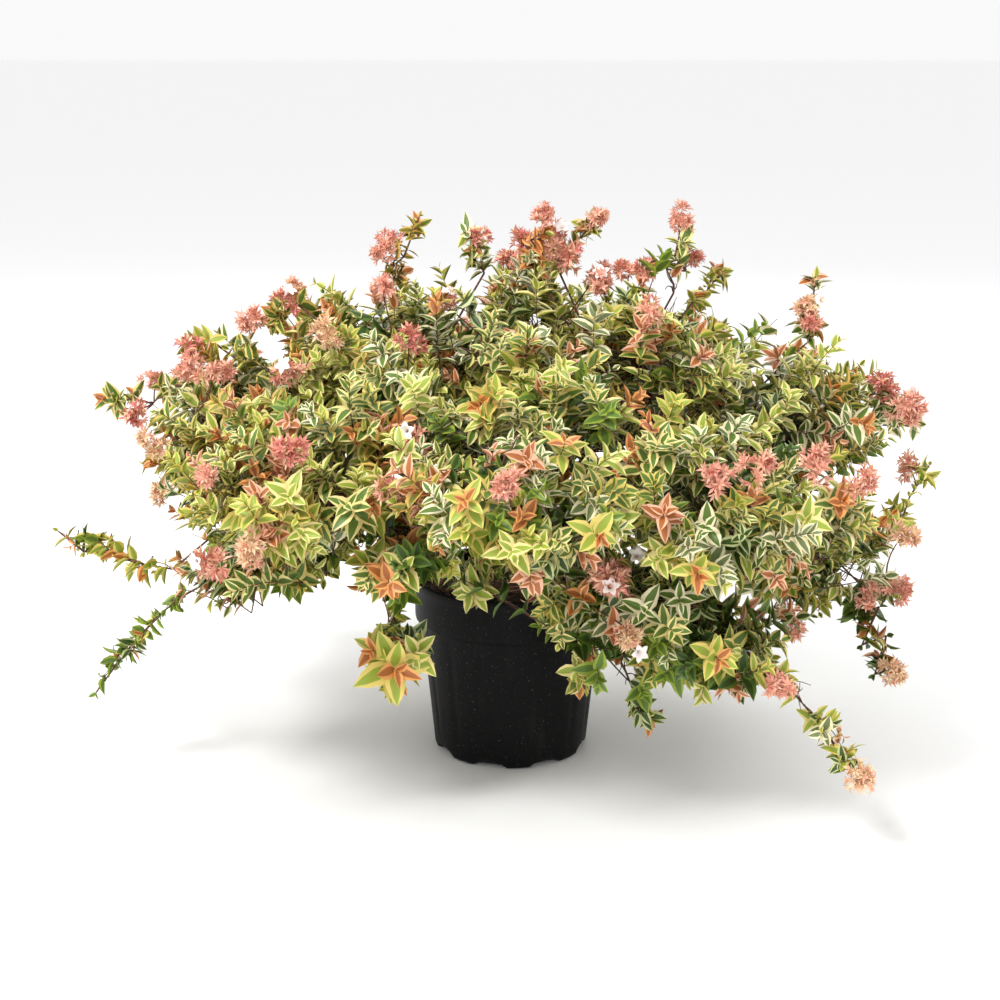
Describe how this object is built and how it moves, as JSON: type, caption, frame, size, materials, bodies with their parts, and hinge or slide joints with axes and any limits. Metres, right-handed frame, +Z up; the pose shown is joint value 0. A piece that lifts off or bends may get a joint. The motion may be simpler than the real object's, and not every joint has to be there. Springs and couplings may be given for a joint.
{
  "type": "potted flowering shrub, variegated abelia",
  "caption": "Low wide flowering shrub with variegated leaves and arching shoots, standing in a round black nursery pot.",
  "frame": {"origin": "middle of the pot's flat underside, on the surface that it stands on", "axes": "+Z up, -Y towards the side that the picture shows, +X to the right of that view, along the crown's greatest width"},
  "size_m": [1.0439, 0.8595, 0.655],
  "materials": {
    "pot_plastic": "black moulded plastic with a soft sheen, light scuffs and dust",
    "potting_mix": "damp dark bark and peat crumbs",
    "bark": "thin red-brown bark, shredding in fine lengthwise strips near the foot",
    "foliage": "small glossy leaves, green with cream and yellow margins",
    "young_shoots": "young leaves in yellow, orange and bronze with coral flower clusters"
  },
  "bodies": {
    "root": {"pot": "pot_plastic", "potting_mix": "potting_mix", "stem": "bark", "bough_crest_left": "bark", "bough_crest_right": "bark", "bough_crest_back": "bark", "bough_shoulder_front": "bark", "bough_shoulder_right": "bark", "bough_shoulder_left": "bark", "bough_shoulder_left_front": "bark", "bough_shoulder_left_back": "bark", "bough_shoulder_right_back": "bark", "bough_skirt_right_front": "bark", "bough_skirt_left_back": "bark", "bough_skirt_right_back": "bark", "foliage_crest_middle": "foliage", "foliage_crest_right": "foliage", "foliage_crest_back": "foliage", "foliage_crest_left": "foliage", "foliage_crest_front": "foliage", "foliage_shoulder_right": "foliage", "foliage_shoulder_right_front": "foliage", "foliage_shoulder_front": "foliage", "foliage_shoulder_left_front": "foliage", "foliage_shoulder_left": "foliage", "foliage_shoulder_left_back": "foliage", "foliage_shoulder_back": "foliage", "foliage_shoulder_right_back": "foliage", "foliage_skirt_right": "foliage", "foliage_skirt_right_front": "foliage", "foliage_skirt_front_right": "foliage", "foliage_skirt_front_left": "foliage", "foliage_skirt_left": "foliage", "foliage_skirt_left_back": "foliage", "foliage_skirt_back": "foliage", "foliage_skirt_right_back": "foliage", "shoot_spike_left": "young_shoots", "shoot_spike_back_left": "young_shoots", "shoot_spike_middle": "young_shoots", "shoot_spike_middle_right": "young_shoots", "shoot_spike_right": "young_shoots", "shoot_spike_right_slim": "young_shoots", "shoot_spike_far_right": "young_shoots", "shoot_tuft_crest_left": "young_shoots", "shoot_tuft_shoulder_left": "young_shoots", "shoot_tip_left": "young_shoots", "shoot_trailer_left_upper": "young_shoots", "shoot_trailer_left_lower": "young_shoots", "shoot_tip_right": "young_shoots", "shoot_sprig_right": "young_shoots", "shoot_tuft_right": "young_shoots", "shoot_trailer_right": "young_shoots", "shoot_trailer_right_low": "young_shoots", "shoot_trailer_front_left": "young_shoots", "shoot_trailer_front_right": "young_shoots", "shoot_trailer_front_low": "young_shoots", "shoot_tuft_rim": "young_shoots", "shoot_spike_back": "young_shoots", "shoot_trailer_back_left": "young_shoots", "shoot_trailer_back_right": "young_shoots"}
  },
  "joints": []
}
